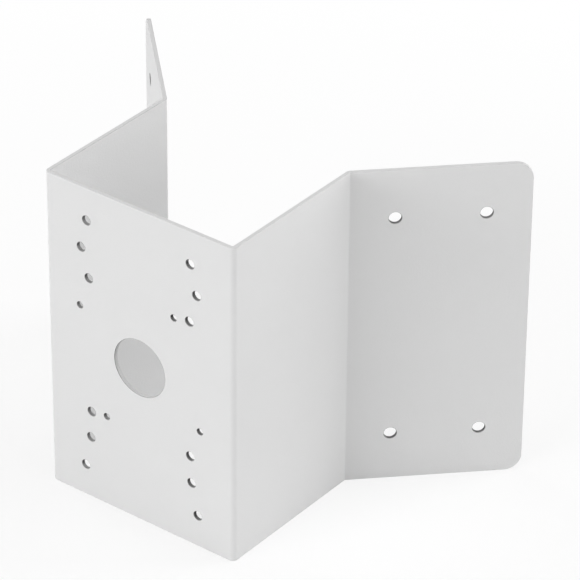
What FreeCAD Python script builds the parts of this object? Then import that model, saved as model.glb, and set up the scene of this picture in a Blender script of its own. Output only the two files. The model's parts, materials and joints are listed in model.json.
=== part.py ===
"""Corner mounting bracket for a surveillance camera, folded from one steel sheet.

A flat front plate carries the camera. Two webs run straight back from it, and each ends
in a flange that splays outwards, so that the two flanges lie on the two walls of a
building's outside corner. The sheet is folded along its full height four times.

Frame: millimetres, +Z up, -Y out of the front plate, +X to the right of somebody who
faces it. The origin is the middle of the cable hole, on the front face.
"""
import FreeCAD, Part
import math
import os

from FreeCAD import Vector

# The sheet and its folds
sheet_thickness = 3.0
bend_inside_radius = 1.0
splay_angle = 45.0  # degrees between a web and its flange

# Outside sizes, each taken to the sharp corner that the fold then rounds
height = 250.0
front_width = 162.0
web_depth = 125.0
flange_length = 125.0
flange_corner_radius = 12.5

# Cable hole in the middle of the front plate
cable_hole_diameter = 44.0

# Three rectangles of clearance holes, each for a camera base of another size:
# the distance across, the distance up, and how far the rectangle's middle is above the origin
camera_hole_diameter = 7.0
wide_base_across = 99.5
wide_base_up = 177.0
wide_base_middle = -11.5
tall_base_across = 89.0
tall_base_up = 174.5
tall_base_middle = 12.25
small_base_across = 87.0
small_base_up = 108.0
small_base_middle = 0.5

# Ring of smaller holes round the cable hole, for a round junction box
box_hole_diameter = 5.0
box_circle_diameter = 120.0
box_hole_count = 4
box_first_angle = 60.0  # degrees from +X towards +Z

# Wall holes, a rectangle on the middle of each flange
wall_hole_diameter = 9.0
wall_hole_across = 62.5
wall_hole_up = 175.0

# How far each drill starts in front of the sheet and runs out behind it
drill_overrun = 1.0

# How near an edge's middle lies to where a corner is looked for
corner_tolerance = 0.01


def rounded_line(corners, radii):
    """A line through the corners in the XY plane, each inner corner rounded by its arc."""
    edges = []
    start = corners[0]
    for before, corner, after, radius in zip(corners, corners[1:], corners[2:], radii):
        way_in = (corner - before).normalize()
        way_out = (after - corner).normalize()
        half_turn = way_in.getAngle(way_out) / 2
        setback = radius * math.tan(half_turn)
        bulge = radius / math.cos(half_turn) - radius
        arc_start = corner - way_in * setback
        arc_middle = corner + (way_out - way_in).normalize() * bulge
        arc_end = corner + way_out * setback
        edges.append(Part.LineSegment(start, arc_start).toShape())
        edges.append(Part.Arc(arc_start, arc_middle, arc_end).toShape())
        start = arc_end
    edges.append(Part.LineSegment(start, corners[-1]).toShape())
    return Part.Wire(edges)


def flange_direction(side):
    """Unit vector along a flange, away from its fold. side is -1 on the left, 1 on the right."""
    splay = math.radians(splay_angle)
    return Vector(side * math.sin(splay), math.cos(splay), 0)


def wall_direction(side):
    """Unit vector square to a flange, from its front face to the wall behind it."""
    splay = math.radians(splay_angle)
    return Vector(-side * math.cos(splay), math.sin(splay), 0)


def flange_fold(side):
    """Sharp corner, at mid height, where a web's outer face meets the flange's front face."""
    return Vector(side * front_width / 2, web_depth, 0)


def folded_sheet():
    """The sheet after folding: its section in plan, drawn out to the full height."""
    left_front = Vector(-front_width / 2, 0, 0)
    right_front = Vector(front_width / 2, 0, 0)
    left_end = flange_fold(-1) + flange_direction(-1) * flange_length
    right_end = flange_fold(1) + flange_direction(1) * flange_length

    # The face that shows is outside the two front folds and inside the two flange folds
    outside_radius = bend_inside_radius + sheet_thickness
    face_line = rounded_line(
        [left_end, flange_fold(-1), left_front, right_front, flange_fold(1), right_end],
        [bend_inside_radius, outside_radius, outside_radius, bend_inside_radius],
    )
    section = face_line.makeOffset2D(-sheet_thickness, fill=True, openResult=True)
    section.translate(Vector(0, 0, -height / 2))
    return section.extrude(Vector(0, 0, height))


def with_rounded_corners(sheet):
    """Rounds the four free corners, at the top and bottom of each flange's end."""
    corner_edges = []
    for side in (-1, 1):
        end = flange_fold(side) + flange_direction(side) * flange_length
        end_middle = end + wall_direction(side) * (sheet_thickness / 2)
        for level in (-height / 2, height / 2):
            corner = end_middle + Vector(0, 0, level)
            corner_edges += [
                edge
                for edge in sheet.Edges
                if edge.CenterOfMass.isEqual(corner, corner_tolerance)
            ]
    return sheet.makeFillet(flange_corner_radius, corner_edges)


def drill(centre, inwards, diameter):
    """A cylinder through the sheet at a point of its front face."""
    start = centre - inwards * drill_overrun
    length = sheet_thickness + 2 * drill_overrun
    return Part.makeCylinder(diameter / 2, length, start, inwards)


def rectangle(across, up, middle=0.0):
    """The four corners of a hole rectangle, as (distance across, distance up) pairs."""
    return [(x * across / 2, middle + z * up / 2) for x in (-1, 1) for z in (-1, 1)]


def front_drills():
    """Cable hole, camera holes and junction box holes, all in the front plate."""
    inwards = Vector(0, 1, 0)
    drills = [drill(Vector(0, 0, 0), inwards, cable_hole_diameter)]
    for base in (
        rectangle(wide_base_across, wide_base_up, wide_base_middle),
        rectangle(tall_base_across, tall_base_up, tall_base_middle),
        rectangle(small_base_across, small_base_up, small_base_middle),
    ):
        for x, z in base:
            drills.append(drill(Vector(x, 0, z), inwards, camera_hole_diameter))
    for index in range(box_hole_count):
        angle = math.radians(box_first_angle + index * 360 / box_hole_count)
        centre = Vector(math.cos(angle), 0, math.sin(angle)) * (box_circle_diameter / 2)
        drills.append(drill(centre, inwards, box_hole_diameter))
    return drills


def wall_drills():
    """Four holes square to each flange, in a rectangle about the flange's middle."""
    drills = []
    for side in (-1, 1):
        along = flange_direction(side)
        middle = flange_fold(side) + along * (flange_length / 2)
        for across, up in rectangle(wall_hole_across, wall_hole_up):
            centre = middle + along * across + Vector(0, 0, up)
            drills.append(drill(centre, wall_direction(side), wall_hole_diameter))
    return drills


def corner_bracket():
    """The finished bracket: one folded, rounded and drilled sheet."""
    sheet = with_rounded_corners(folded_sheet())
    return sheet.cut(front_drills() + wall_drills())


os.makedirs("parts", exist_ok=True)
bracket = corner_bracket().Solids[0]
bracket.exportStep("parts/corner_bracket.step")
box = bracket.BoundBox
print(f"corner_bracket: {box.XLength:.1f} x {box.YLength:.1f} x {box.ZLength:.1f} mm")
print(f"valid {bracket.isValid()}, volume {bracket.Volume / 1000:.1f} cubic centimetres")
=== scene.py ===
# %% [markdown]
# # A camera's corner bracket in white powder coat
#
# The object is one steel sheet, about 3 mm thick, that a press brake has folded four
# times. A drilled front plate carries a camera, two webs run back from it, and two
# flanges splay outwards to lie on the two walls of a building's outside corner.
#
# Blender could show the CAD mesh as it is, but that mesh has coarse folds, many-sided
# holes and knife-sharp edges. So this script models the sheet again the way a sheet
# metal shop makes it: a flat panel with holes, folds, more panels, then the thickness,
# and last the soft edge that a powder coat leaves.

# %% Load the frame
import json
import math

import bmesh
import bpy
from mathutils import Matrix, Vector
from mathutils.bvhtree import BVHTree


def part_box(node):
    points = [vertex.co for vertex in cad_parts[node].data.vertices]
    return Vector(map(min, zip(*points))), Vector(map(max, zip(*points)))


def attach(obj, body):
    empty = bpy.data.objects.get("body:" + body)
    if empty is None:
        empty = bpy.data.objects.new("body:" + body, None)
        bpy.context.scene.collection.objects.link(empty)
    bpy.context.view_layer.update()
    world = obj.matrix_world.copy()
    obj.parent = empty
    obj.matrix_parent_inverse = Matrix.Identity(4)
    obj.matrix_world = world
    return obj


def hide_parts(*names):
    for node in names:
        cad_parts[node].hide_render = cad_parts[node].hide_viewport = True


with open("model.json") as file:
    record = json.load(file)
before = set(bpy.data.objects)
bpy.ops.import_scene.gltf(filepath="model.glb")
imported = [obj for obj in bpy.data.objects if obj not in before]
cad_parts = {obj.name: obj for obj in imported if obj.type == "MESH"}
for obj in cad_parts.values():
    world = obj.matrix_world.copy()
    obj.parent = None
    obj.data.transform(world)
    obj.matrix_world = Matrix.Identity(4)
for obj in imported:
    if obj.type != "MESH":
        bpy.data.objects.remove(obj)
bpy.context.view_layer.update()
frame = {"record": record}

# %% [markdown]
# ## The bracket's own sizes
#
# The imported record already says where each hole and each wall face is, so the scene
# reads them there and repeats no table of numbers. The sheet's thickness is the length
# of the cable hole. The right flange's end and the middle of its wall face give the fold
# between them, and that fold gives the width over the webs and their depth.

# %% Read the sizes from the frame
mounts = {mount["name"]: mount for mount in frame["record"]["mounts"]}
lowest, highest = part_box("corner_bracket")

sheet = mounts["cable_hole"]["dims"]["length_mm"] / 1000
height = highest.z - lowest.z
to_wall = Vector(mounts["right_wall_face"]["axis"])
flange_middle = Vector(mounts["right_wall_face"]["pos_m"]) - to_wall * sheet
flange_end = Vector((highest.x, highest.y - to_wall.y * sheet, flange_middle.z))
flange_fold = 2 * flange_middle - flange_end
splay = math.atan2(to_wall.y, -to_wall.x)
half_width = flange_fold.x
web_depth = flange_fold.y

# The inside radius of every fold and the round corners of the flanges
fold_inside = 0.001
fold_outside = fold_inside + sheet
flange_corner = 0.0125
print(f"sheet {sheet * 1000:.1f} mm, {height * 1000:.0f} mm high")
print(f"{2 * half_width * 1000:.0f} mm over the webs, which are {web_depth * 1000:.1f} mm deep")
print(f"flanges splayed {math.degrees(splay):.1f} degrees")

# %% [markdown]
# ## Where the holes are
#
# The record states each group of holes as a rectangle or as a ring. A rectangle is its
# four corners about the middle, and a ring is points at even steps round a circle. The
# ring alone could be turned either way, so its first angle is the one extra number.

# %% List the holes as middle and radius
ring_first_angle = math.radians(60)


def rectangle_holes(mount):
    """(middle, radius) of the four holes of a rectangle in the front plate."""
    middle = Vector(mount["pos_m"])
    across = Vector((mount["dims"]["spacing_x_mm"] / 2000, 0, 0))
    up = Vector((0, 0, mount["dims"]["spacing_y_mm"] / 2000))
    radius = mount["dims"]["hole_r_mm"] / 1000
    return [(middle + i * across + j * up, radius) for i in (-1, 1) for j in (-1, 1)]


def ring_holes(mount, first_angle, across):
    """(middle, radius) of a ring of holes. across is the direction of angle zero."""
    radius = mount["dims"]["hole_r_mm"] / 1000
    reach = mount["dims"]["pcd_mm"] / 2000
    holes = []
    for index in range(mount["dims"]["count"]):
        angle = first_angle + index * math.tau / mount["dims"]["count"]
        spoke = across * math.cos(angle) + Vector((0, 0, math.sin(angle)))
        holes.append((Vector(mount["pos_m"]) + spoke * reach, radius))
    return holes


cable_hole = mounts["cable_hole"]
front_holes = [(Vector(cable_hole["pos_m"]), cable_hole["dims"]["r_mm"] / 1000)]
for base in ("wide_base_holes", "tall_base_holes", "small_base_holes"):
    front_holes += rectangle_holes(mounts[base])
front_holes += ring_holes(mounts["junction_box_ring"], ring_first_angle, Vector((1, 0, 0)))

along_flange = (flange_end - flange_fold).normalized()
flange_holes = []
for column in ("right_wall_holes_inner", "right_wall_holes_outer"):
    for middle, radius in ring_holes(mounts[column], math.pi / 2, along_flange):
        flange_holes.append((middle - to_wall * sheet, radius))
print(len(front_holes), "holes in the front plate,", len(flange_holes), "in each flange")

# %% [markdown]
# ## A flat panel with holes
#
# A mesh face can't have a hole in it. One way round that is to cut the holes with
# booleans, which leaves a tangle of points. This script draws the outline and the
# circles as loose edges instead, and lets triangle_fill pave the flat between them. The
# panel lies in its own plane first, x along the sheet and y up, and is then turned into
# place.

# %% The panel helper
circle_steps = 64
corner_steps = 16


def panel(mesh, width, holes, place, round_end=0.0):
    """A flat sheet face from x = 0 to width, with round holes and a rounded far end."""
    flat = bmesh.new()
    bmesh.ops.create_grid(flat, x_segments=1, y_segments=1, size=0.5)
    bmesh.ops.translate(flat, verts=flat.verts, vec=(0.5, 0, 0))
    bmesh.ops.scale(flat, verts=flat.verts, vec=(width, height, 1))
    if round_end:
        far = [v for v in flat.verts if v.co.x > width / 2]
        bmesh.ops.bevel(
            flat,
            geom=far,
            offset=round_end,
            affect="VERTICES",
            segments=corner_steps,
            profile=0.5,
            material=-1,
        )
    bmesh.ops.delete(flat, geom=flat.faces[:], context="FACES_ONLY")
    for (x, y), radius in holes:
        spot = Matrix.Translation((x, y, 0))
        bmesh.ops.create_circle(flat, segments=circle_steps, radius=radius, matrix=spot)
    bmesh.ops.triangle_fill(flat, edges=flat.edges[:], use_beauty=True, normal=(0, 0, 1))
    bmesh.ops.transform(flat, verts=flat.verts, matrix=place)
    loose = bpy.data.meshes.new("loose_panel")
    flat.to_mesh(loose)
    flat.free()
    mesh.from_mesh(loose)
    bpy.data.meshes.remove(loose)


def place_of(origin, along, up=Vector((0, 0, 1))):
    """The matrix that lays a panel's x on along and its y on up, starting at origin."""
    out = along.cross(up)
    turn = Matrix((along, up, out)).transposed().to_4x4()
    return Matrix.Translation(origin) @ turn


print("each hole is drawn with", circle_steps, "straight edges")

# %% [markdown]
# ## Folding the sheet
#
# A press brake turns the sheet about a line, and spin does just that to an edge: it
# sweeps the edge round an axis and leaves a strip of faces behind. The right side is
# made by hand from the front plate outwards: a 90 degree fold, the web, and a fold back
# through the splay angle. The left side is its mirror image.

# %% The folding helpers
fold_steps = 16


def fold(mesh, edges, centre, angle):
    """Sweeps the edges round an upright axis and gives back the edges at the far end."""
    geometry = edges + [v for edge in edges for v in edge.verts]
    swept = bmesh.ops.spin(
        mesh,
        geom=geometry,
        cent=centre,
        axis=(0, 0, 1),
        angle=angle,
        steps=fold_steps,
        use_duplicate=False,
    )
    return [item for item in swept["geom_last"] if isinstance(item, bmesh.types.BMEdge)]


def run_straight(mesh, edges, travel):
    """Extrudes the edges along a vector and gives back the edges at the far end."""
    drawn = bmesh.ops.extrude_edge_only(mesh, edges=edges)["geom"]
    ends = [item for item in drawn if isinstance(item, bmesh.types.BMVert)]
    bmesh.ops.translate(mesh, verts=ends, vec=travel)
    drawn_edges = [item for item in drawn if isinstance(item, bmesh.types.BMEdge)]
    return [edge for edge in drawn_edges if all(v in ends for v in edge.verts)]


# %% Pave the front plate
skin = bmesh.new()
flat_half = half_width - fold_outside
start = Vector((-flat_half, 0, 0))
in_plate = [((hole.x + flat_half, hole.z), radius) for hole, radius in front_holes]
panel(skin, 2 * flat_half, in_plate, place_of(start, Vector((1, 0, 0))))
print("front plate:", len(skin.faces), "triangles")

# %% Fold up the right wing
wing = bmesh.new()
edge_ends = [wing.verts.new((flat_half, 0, side * height / 2)) for side in (-1, 1)]
travelling = [wing.edges.new(edge_ends)]

setback = fold_inside * math.tan(splay / 2)
travelling = fold(wing, travelling, (flat_half, fold_outside, 0), math.pi / 2)
travelling = run_straight(wing, travelling, (0, web_depth - setback - fold_outside, 0))
travelling = fold(wing, travelling, (half_width + fold_inside, web_depth - setback, 0), -splay)

flange_start = flange_fold + along_flange * setback
in_flange = []
for hole, radius in flange_holes:
    in_flange.append((((hole - flange_start).dot(along_flange), hole.z), radius))
flange_width = (flange_end - flange_start).length
panel(wing, flange_width, in_flange, place_of(flange_start, along_flange), flange_corner)
print("right wing:", len(wing.faces), "faces")

# %% [markdown]
# ## Joining the wings
#
# The mirrored wing comes out inside out, as everything mirrored does, so the normals are
# worked out again once the seams are welded. They must point out of the front plate,
# because the thickness is put on behind them.

# %% Mirror, weld and face outwards
weld = 0.00001
wing_mesh = bpy.data.meshes.new("wing")
bmesh.ops.mirror(wing, geom=wing.verts[:] + wing.edges[:] + wing.faces[:], merge_dist=-1, axis="X")
wing.to_mesh(wing_mesh)
wing.free()
skin.from_mesh(wing_mesh)
bpy.data.meshes.remove(wing_mesh)

bmesh.ops.remove_doubles(skin, verts=skin.verts, dist=weld)
bmesh.ops.recalc_face_normals(skin, faces=skin.faces)
most_forward = max(skin.faces, key=lambda face: abs(face.normal.y))
if most_forward.normal.y > 0:
    bmesh.ops.reverse_faces(skin, faces=skin.faces)
print("one skin:", len(skin.faces), "faces,", sum(e.is_boundary for e in skin.edges), "cut edges")

# %% [markdown]
# ## Thickness, then the soft edge of the coat
#
# solidify gives the skin a back at an even distance, and walls along every cut edge and
# through every hole. Powder draws back from sharp edges as it melts and leaves them
# round, so each edge where a wall meets a face gets a small bevel. Folds are left alone,
# because there the faces meet at only a few degrees. The walls are marked before the
# bevel, which keeps such a mark on the faces that it rebuilds.

# %% Give the sheet its body
coat_edge = 0.0004
edge_segments = 3
cut_angle = math.radians(60)

front_points = set(skin.verts)
face_that_shows = BVHTree.FromBMesh(skin)
bmesh.ops.solidify(skin, geom=skin.faces[:], thickness=sheet)
is_wall = skin.faces.layers.int.new("cut_wall")
for face in skin.faces:
    in_front = sum(v in front_points for v in face.verts)
    face[is_wall] = int(0 < in_front < len(face.verts))
cut_edges = [e for e in skin.edges if e.is_manifold and e.calc_face_angle() > cut_angle]
print("walls:", sum(face[is_wall] for face in skin.faces), "edges to round:", len(cut_edges))

rounded = bmesh.ops.bevel(
    skin,
    geom=cut_edges,
    offset=coat_edge,
    affect="EDGES",
    segments=edge_segments,
    profile=0.5,
    material=-1,
    loop_slide=False,
    clamp_overlap=False,
)
bmesh.ops.recalc_face_normals(skin, faces=skin.faces)
for face in skin.faces:
    face.smooth = True
open_edges = sum(not e.is_manifold for e in skin.edges)
print(len(skin.faces), "faces,", open_edges, "open edges")
print(f"{skin.calc_volume() * 1e6:.1f} cubic centimetres of steel and coat")

# %% [markdown]
# ## Where the coat is thin, and where shade is painted
#
# Charged powder builds up well on open faces but badly inside small holes, and it draws
# back from sharp rims, most round the holes and at the back, away from the spray gun. The
# grey of the steel comes through there. The same grey also paints shade into the coat:
# darker inside the small holes, most in those of the flanges, which lie deep in a corner,
# darker on the upper side of each hole, where light from above doesn't reach, and fine dark
# lines round the cut edges. Together they make dark crescents in the bolt holes. A number
# on each vertex says how thin the coat is and how dark the painted shade, from 0 to 1, and
# the material reads it.

# %% Say how thin the coat is and how dark the painted shade, place by place
# Each number below darkens towards steel grey: partly a thin coat, partly painted shade inside the
# holes and along the rims.
thin_and_shade_on_cut = 0.0
thin_and_shade_in_cable_hole = 0.1
thin_and_shade_in_camera_hole = 0.95
thin_and_shade_in_wall_hole = 1.2
thin_and_shade_on_outer_rim = {"front": 0.1, "back": 0.35}
thin_and_shade_on_hole_rim = {"front": 0.75, "back": 1.0}
thin_and_shade_on_cable_rim = {"front": 1.0, "back": 0.9}
# Painted shade: the upper side of each hole is darker, where light from above doesn't reach.
painted_shade_overhead = 0.45

through = Vector((0, 1, 0))
bores = [(*front_holes[0], through, thin_and_shade_in_cable_hole, thin_and_shade_on_cable_rim)]
bores += [(*hole, through, thin_and_shade_in_camera_hole, thin_and_shade_on_hole_rim) for hole in front_holes[1:]]
for middle, radius in flange_holes:
    for turn in (Vector((1, 1, 1)), Vector((-1, 1, 1))):
        bores.append((middle * turn, radius, to_wall * turn, thin_and_shade_in_wall_hole, thin_and_shade_on_hole_rim))


def hole_round(point):
    """The hole round a point: its thin coat and painted shade on the wall and on the rims, and the
    height in it.

    The height runs from -1 to 1. A point that is in no hole gives None.
    """
    for middle, radius, axis, on_wall, on_rims in bores:
        offset = point - middle
        spoke = offset - axis * offset.dot(axis)
        if offset.length < radius + 2 * sheet and spoke.length < radius + coat_edge:
            return on_wall, on_rims, spoke.z / radius
    return None


def thin_and_shade_at(point, on_rim):
    """How thin the coat is and how dark the painted shade at a point of a cut wall or of its
    rounded rim, from 0 to 1.
    """
    side = "front" if face_that_shows.find_nearest(point)[3] < sheet / 2 else "back"
    hole = hole_round(point)
    if hole is None:
        return thin_and_shade_on_outer_rim[side] if on_rim else thin_and_shade_on_cut
    on_wall, on_rims, height_in_hole = hole
    # thin holds the thin coat and the painted shade together.
    thin = on_rims[side] if on_rim else on_wall
    return min(1, max(0, thin + painted_shade_overhead * height_in_hole))


print("holes with thin places:", len(bores))

# %% Mark the thin places and the painted shade
# One number per vertex for the thin coat and the painted shade together.
thin_coat_and_shade = skin.verts.layers.float.new("thin_coat_and_shade")
rims = set(rounded["faces"])
for vertex in skin.verts:
    on_rim = all(face in rims for face in vertex.link_faces)
    if on_rim or any(face[is_wall] and face not in rims for face in vertex.link_faces):
        vertex[thin_coat_and_shade] = thin_and_shade_at(vertex.co, on_rim)
skin.faces.layers.int.remove(is_wall)
# Counts the points darkened by thin coat and painted shade.
darkened = sum(vertex[thin_coat_and_shade] > 0 for vertex in skin.verts)
print(darkened, "of", len(skin.verts), "points have a thinner coat")

# %% Put it in the scene
bracket_mesh = bpy.data.meshes.new("folded_bracket")
skin.to_mesh(bracket_mesh)
skin.free()
bracket = bpy.data.objects.new("folded_bracket", bracket_mesh)
bpy.context.scene.collection.objects.link(bracket)
even_shading = bracket.modifiers.new("even_shading", "WEIGHTED_NORMAL")
even_shading.keep_sharp = False
even_shading.weight = 100

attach(bracket, "root")
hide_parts("corner_bracket")
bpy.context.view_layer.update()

# %% [markdown]
# ## White powder coat
#
# The finish is a polyester powder, baked until it flows. It isn't a mirror-flat paint:
# it has a shallow orange peel about a millimetre across, a finer grain on top, and a
# gloss that drifts a little over a hand's width. Two noises make the relief, slow ones
# move the roughness and the tone by a hair, and the patterns read Object coordinates, so
# they stay on the metal when the bracket moves. Where the coat is marked as thin and where
# shade is painted in the holes and along the rims, the tone goes to the grey of steel under
# a haze of white, a little unevenly.

# %% The powder coat's values and helpers
coat_white = (0.75, 0.75, 0.75, 1)
coat_drift = (0.73, 0.73, 0.73, 1)
# Steel grey under a haze of white: thin coat, and painted shade in the holes and along the rims.
steel_grey_and_painted_shade = (0.045, 0.045, 0.045, 1)
coat_roughness = (0.42, 0.54)
coat_ior = 1.45
patchiness = (0.75, 1.15)

# Each pattern's size, in repeats per metre, and how many finer levels it has
tone_pattern = (18, 2)
gloss_pattern = (35, 3)
patch_pattern = (400, 2)
peel_pattern = (850, 1)
grain_pattern = (3200, 2)

# Each relief's strength and its depth in metres
peel_relief = (0.7, 0.00015)
grain_relief = (0.15, 0.00002)


def new_material(name):
    """An empty node material, with its nodes and links."""
    material = bpy.data.materials.new(name)
    material.use_nodes = True
    material.node_tree.nodes.clear()
    return material, material.node_tree.nodes, material.node_tree.links


def noise(nodes, links, coordinates, pattern):
    """A noise texture on the given coordinates, running from 0 to 1."""
    node = nodes.new("ShaderNodeTexNoise")
    node.inputs["Scale"].default_value, node.inputs["Detail"].default_value = pattern
    links.new(coordinates, node.inputs["Vector"])
    return node.outputs["Fac"]


def stretch(nodes, links, value, before, after):
    """Moves a value from one range of numbers to another."""
    node = nodes.new("ShaderNodeMapRange")
    node.inputs["From Min"].default_value, node.inputs["From Max"].default_value = before
    node.inputs["To Min"].default_value, node.inputs["To Max"].default_value = after
    links.new(value, node.inputs["Value"])
    return node.outputs["Result"]


def relief(nodes, links, height, depth):
    """A bump node for a height pattern. depth is its strength and its depth in metres."""
    node = nodes.new("ShaderNodeBump")
    node.inputs["Strength"].default_value, node.inputs["Distance"].default_value = depth
    links.new(height, node.inputs["Height"])
    return node


# %% The tone, and the grey where the coat is thin and where shade is painted
powder, nodes, links = new_material("white_powder_coat")
surface = nodes.new("ShaderNodeOutputMaterial")
paint = nodes.new("ShaderNodeBsdfPrincipled")
links.new(paint.outputs["BSDF"], surface.inputs["Surface"])
on_object = nodes.new("ShaderNodeTexCoord").outputs["Object"]

tone = nodes.new("ShaderNodeMix")
tone.data_type = "RGBA"
tone.inputs["A"].default_value = coat_white
tone.inputs["B"].default_value = coat_drift
links.new(noise(nodes, links, on_object, tone_pattern), tone.inputs["Factor"])

# Reads the per-vertex number of thin coat and painted shade.
thin_and_shade_reader = nodes.new("ShaderNodeAttribute")
thin_and_shade_reader.attribute_name = "thin_coat_and_shade"
patches = noise(nodes, links, on_object, patch_pattern)
steel_and_shade_showing = nodes.new("ShaderNodeMath")
steel_and_shade_showing.operation = "MULTIPLY"
steel_and_shade_showing.use_clamp = True
links.new(thin_and_shade_reader.outputs["Fac"], steel_and_shade_showing.inputs[0])
links.new(stretch(nodes, links, patches, (0, 1), patchiness), steel_and_shade_showing.inputs[1])
# Mixes steel grey into the tone: thin coat, and painted shade in the holes and along the rims.
steel = nodes.new("ShaderNodeMix")
steel.data_type = "RGBA"
steel.inputs["B"].default_value = steel_grey_and_painted_shade
links.new(steel_and_shade_showing.outputs["Value"], steel.inputs["Factor"])
links.new(tone.outputs["Result"], steel.inputs["A"])
links.new(steel.outputs["Result"], paint.inputs["Base Color"])
print("tone and steel:", len(nodes), "nodes")

# %% The gloss and the relief
paint.inputs["IOR"].default_value = coat_ior
drift = noise(nodes, links, on_object, gloss_pattern)
links.new(stretch(nodes, links, drift, (0, 1), coat_roughness), paint.inputs["Roughness"])

peel = relief(nodes, links, noise(nodes, links, on_object, peel_pattern), peel_relief)
grain = relief(nodes, links, noise(nodes, links, on_object, grain_pattern), grain_relief)
links.new(peel.outputs["Normal"], grain.inputs["Normal"])
links.new(grain.outputs["Normal"], paint.inputs["Normal"])
bracket.data.materials.append(powder)
print("powder coat:", len(nodes), "nodes")

# %% [markdown]
# ## Floor and background
#
# The photograph has a pure white background. The floor is a pale matt plane under the
# bracket's lower edge. Light Path's Is Camera Ray tells when the camera looks at it: then
# its paint is fully white, and a share of it glows at strength 1, which is white too and
# only thins the bracket's soft shadow. Further out, where no lamp reaches, all of it
# glows. For all other rays it is an ordinary pale floor that throws some light back up.

# %% Lay the floor
floor_size = 12
floor_mesh = bpy.data.meshes.new("floor")
floor_net = bmesh.new()
bmesh.ops.create_grid(floor_net, x_segments=1, y_segments=1, size=floor_size / 2)
bmesh.ops.translate(floor_net, verts=floor_net.verts, vec=(0, 0, lowest.z))
floor_net.to_mesh(floor_mesh)
floor_net.free()
floor = bpy.data.objects.new("floor", floor_mesh)
bpy.context.scene.collection.objects.link(floor)
print("floor at", round(lowest.z, 4), "m")

# %% The floor's two looks
floor_pale = (0.88, 0.88, 0.88, 1)
floor_white = (1, 1, 1, 1)
glow_starts, glow_full = 0.3, 0.8
least_glow = 0.72

pale, nodes, links = new_material("pale_floor")
surface = nodes.new("ShaderNodeOutputMaterial")
matt = nodes.new("ShaderNodeBsdfDiffuse")
rays = nodes.new("ShaderNodeLightPath")
seen = nodes.new("ShaderNodeMix")
seen.data_type = "RGBA"
seen.inputs["A"].default_value = floor_pale
seen.inputs["B"].default_value = floor_white
links.new(rays.outputs["Is Camera Ray"], seen.inputs["Factor"])
links.new(seen.outputs["Result"], matt.inputs["Color"])
glow = nodes.new("ShaderNodeEmission")
glow.inputs["Strength"].default_value = 1.0
reach = nodes.new("ShaderNodeVectorMath")
reach.operation = "LENGTH"
links.new(nodes.new("ShaderNodeTexCoord").outputs["Object"], reach.inputs[0])
outwards = stretch(nodes, links, reach.outputs["Value"], (glow_starts, glow_full), (least_glow, 1))
share = nodes.new("ShaderNodeMath")
share.operation = "MULTIPLY"
links.new(outwards, share.inputs[0])
links.new(rays.outputs["Is Camera Ray"], share.inputs[1])
white_floor = nodes.new("ShaderNodeMixShader")
links.new(share.outputs["Value"], white_floor.inputs["Fac"])
links.new(matt.outputs["BSDF"], white_floor.inputs[1])
links.new(glow.outputs["Emission"], white_floor.inputs[2])
links.new(white_floor.outputs["Shader"], surface.inputs["Surface"])
floor.data.materials.append(pale)
print("pale floor:", len(nodes), "nodes")

# %% The white room
room_light = 0.165
world = bpy.data.worlds.new("studio")
bpy.context.scene.world = world
world.use_nodes = True
nodes, links = world.node_tree.nodes, world.node_tree.links
nodes.clear()
surface = nodes.new("ShaderNodeOutputWorld")
room = nodes.new("ShaderNodeBackground")
room.inputs["Color"].default_value = (1, 1, 1, 1)
rays = nodes.new("ShaderNodeLightPath")
strength = nodes.new("ShaderNodeMix")
strength.inputs["A"].default_value = room_light
strength.inputs["B"].default_value = 1.0
links.new(rays.outputs["Is Camera Ray"], strength.inputs["Factor"])
links.new(strength.outputs["Result"], room.inputs["Strength"])
links.new(room.outputs["Background"], surface.inputs["Surface"])
print("room light:", room_light)

# %% [markdown]
# ## Lamps
#
# Soft light comes from five large panels and from a dim white room. The biggest panel
# stands low in front, a little to the left, and lights the front plate. One on the right
# lights the web and leaves the flange beside it darker. One behind shines between the
# webs onto the inside of the left one, a weak one on the left brightens the left flange,
# and one overhead lights the cut edges. Their strengths were set until each face had the
# shade that it has in the photograph.

# %% Hang the lamps
look_at = Vector((0, (lowest.y + highest.y) / 2, 0))


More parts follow.
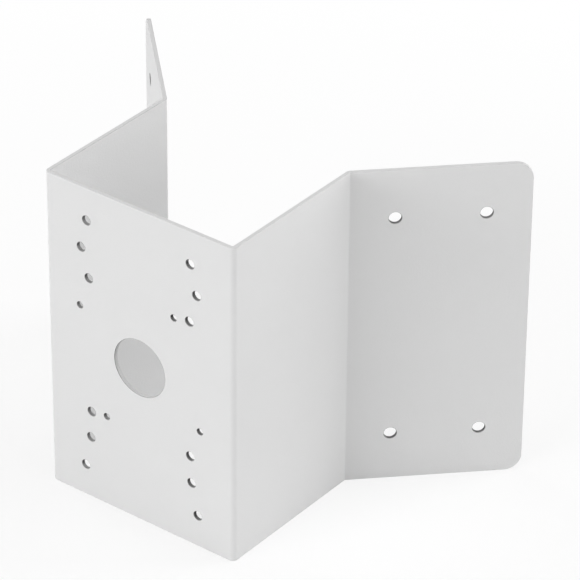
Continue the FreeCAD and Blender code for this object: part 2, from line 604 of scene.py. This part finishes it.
def lamp(name, direction, distance, wide, tall, watts):
    """A panel of light, facing the bracket from a direction."""
    light = bpy.data.lights.new(name, "AREA")
    light.shape = "RECTANGLE"
    light.size = wide
    light.size_y = tall
    light.energy = watts
    holder = bpy.data.objects.new(name, light)
    holder.location = look_at + Vector(direction).normalized() * distance
    holder.rotation_euler = (look_at - holder.location).to_track_quat("-Z", "Y").to_euler()
    bpy.context.scene.collection.objects.link(holder)


lamp("front_panel", (-0.2, -1, 0.25), distance=3.2, wide=2.2, tall=1.4, watts=58.6)
lamp("right_panel", (1, 0.05, 0.27), distance=3.0, wide=1.8, tall=1.4, watts=19.1)
lamp("rear_panel", (0.8, 1, 0.35), distance=2.4, wide=1.4, tall=1.2, watts=27.8)
lamp("left_panel", (-1, 0, 0.5), distance=2.2, wide=1.4, tall=1.4, watts=12)
lamp("top_panel", (0.1, 0.05, 1), distance=2.0, wide=1.4, tall=1.4, watts=16)

# %% [markdown]
# ## Camera
#
# The photograph was taken from a long way off through a long lens, so its parallel edges
# hardly converge. The camera's turn round the object, its height, its tilt and its place
# come from fitting the bracket's edges to the photograph.

# %% Place the camera
photo_pixels = 580
sensor_width = 36.0
turn_angle = math.radians(37.584)
rise_angle = math.radians(32.207)
tilt_angle = math.radians(0.490)
focal_pixels = 4048.9
camera_right = 0.10222
camera_up = 0.15848
camera_back = 2.7952

back = Vector((
    math.sin(turn_angle) * math.cos(rise_angle),
    -math.cos(turn_angle) * math.cos(rise_angle),
    math.sin(rise_angle),
))
level_right = Vector((math.cos(turn_angle), math.sin(turn_angle), 0))
level_up = back.cross(level_right)
right = math.cos(tilt_angle) * level_right + math.sin(tilt_angle) * level_up
up = math.cos(tilt_angle) * level_up - math.sin(tilt_angle) * level_right
foot = Vector((0, 0, lowest.z))

camera_data = bpy.data.cameras.new("photo_camera")
camera_data.sensor_width = sensor_width
camera_data.lens = focal_pixels / photo_pixels * sensor_width
camera_data.clip_end = 100
camera = bpy.data.objects.new("photo_camera", camera_data)
camera.matrix_world = (
    Matrix.Translation(foot + right * camera_right + up * camera_up + back * camera_back)
    @ Matrix((right, up, back)).transposed().to_4x4()
)
bpy.context.scene.collection.objects.link(camera)
bpy.context.scene.camera = camera
bpy.context.scene.view_settings.view_transform = "Standard"
print(f"lens {camera_data.lens:.1f} mm, {camera.location.length:.2f} m from the cable hole")
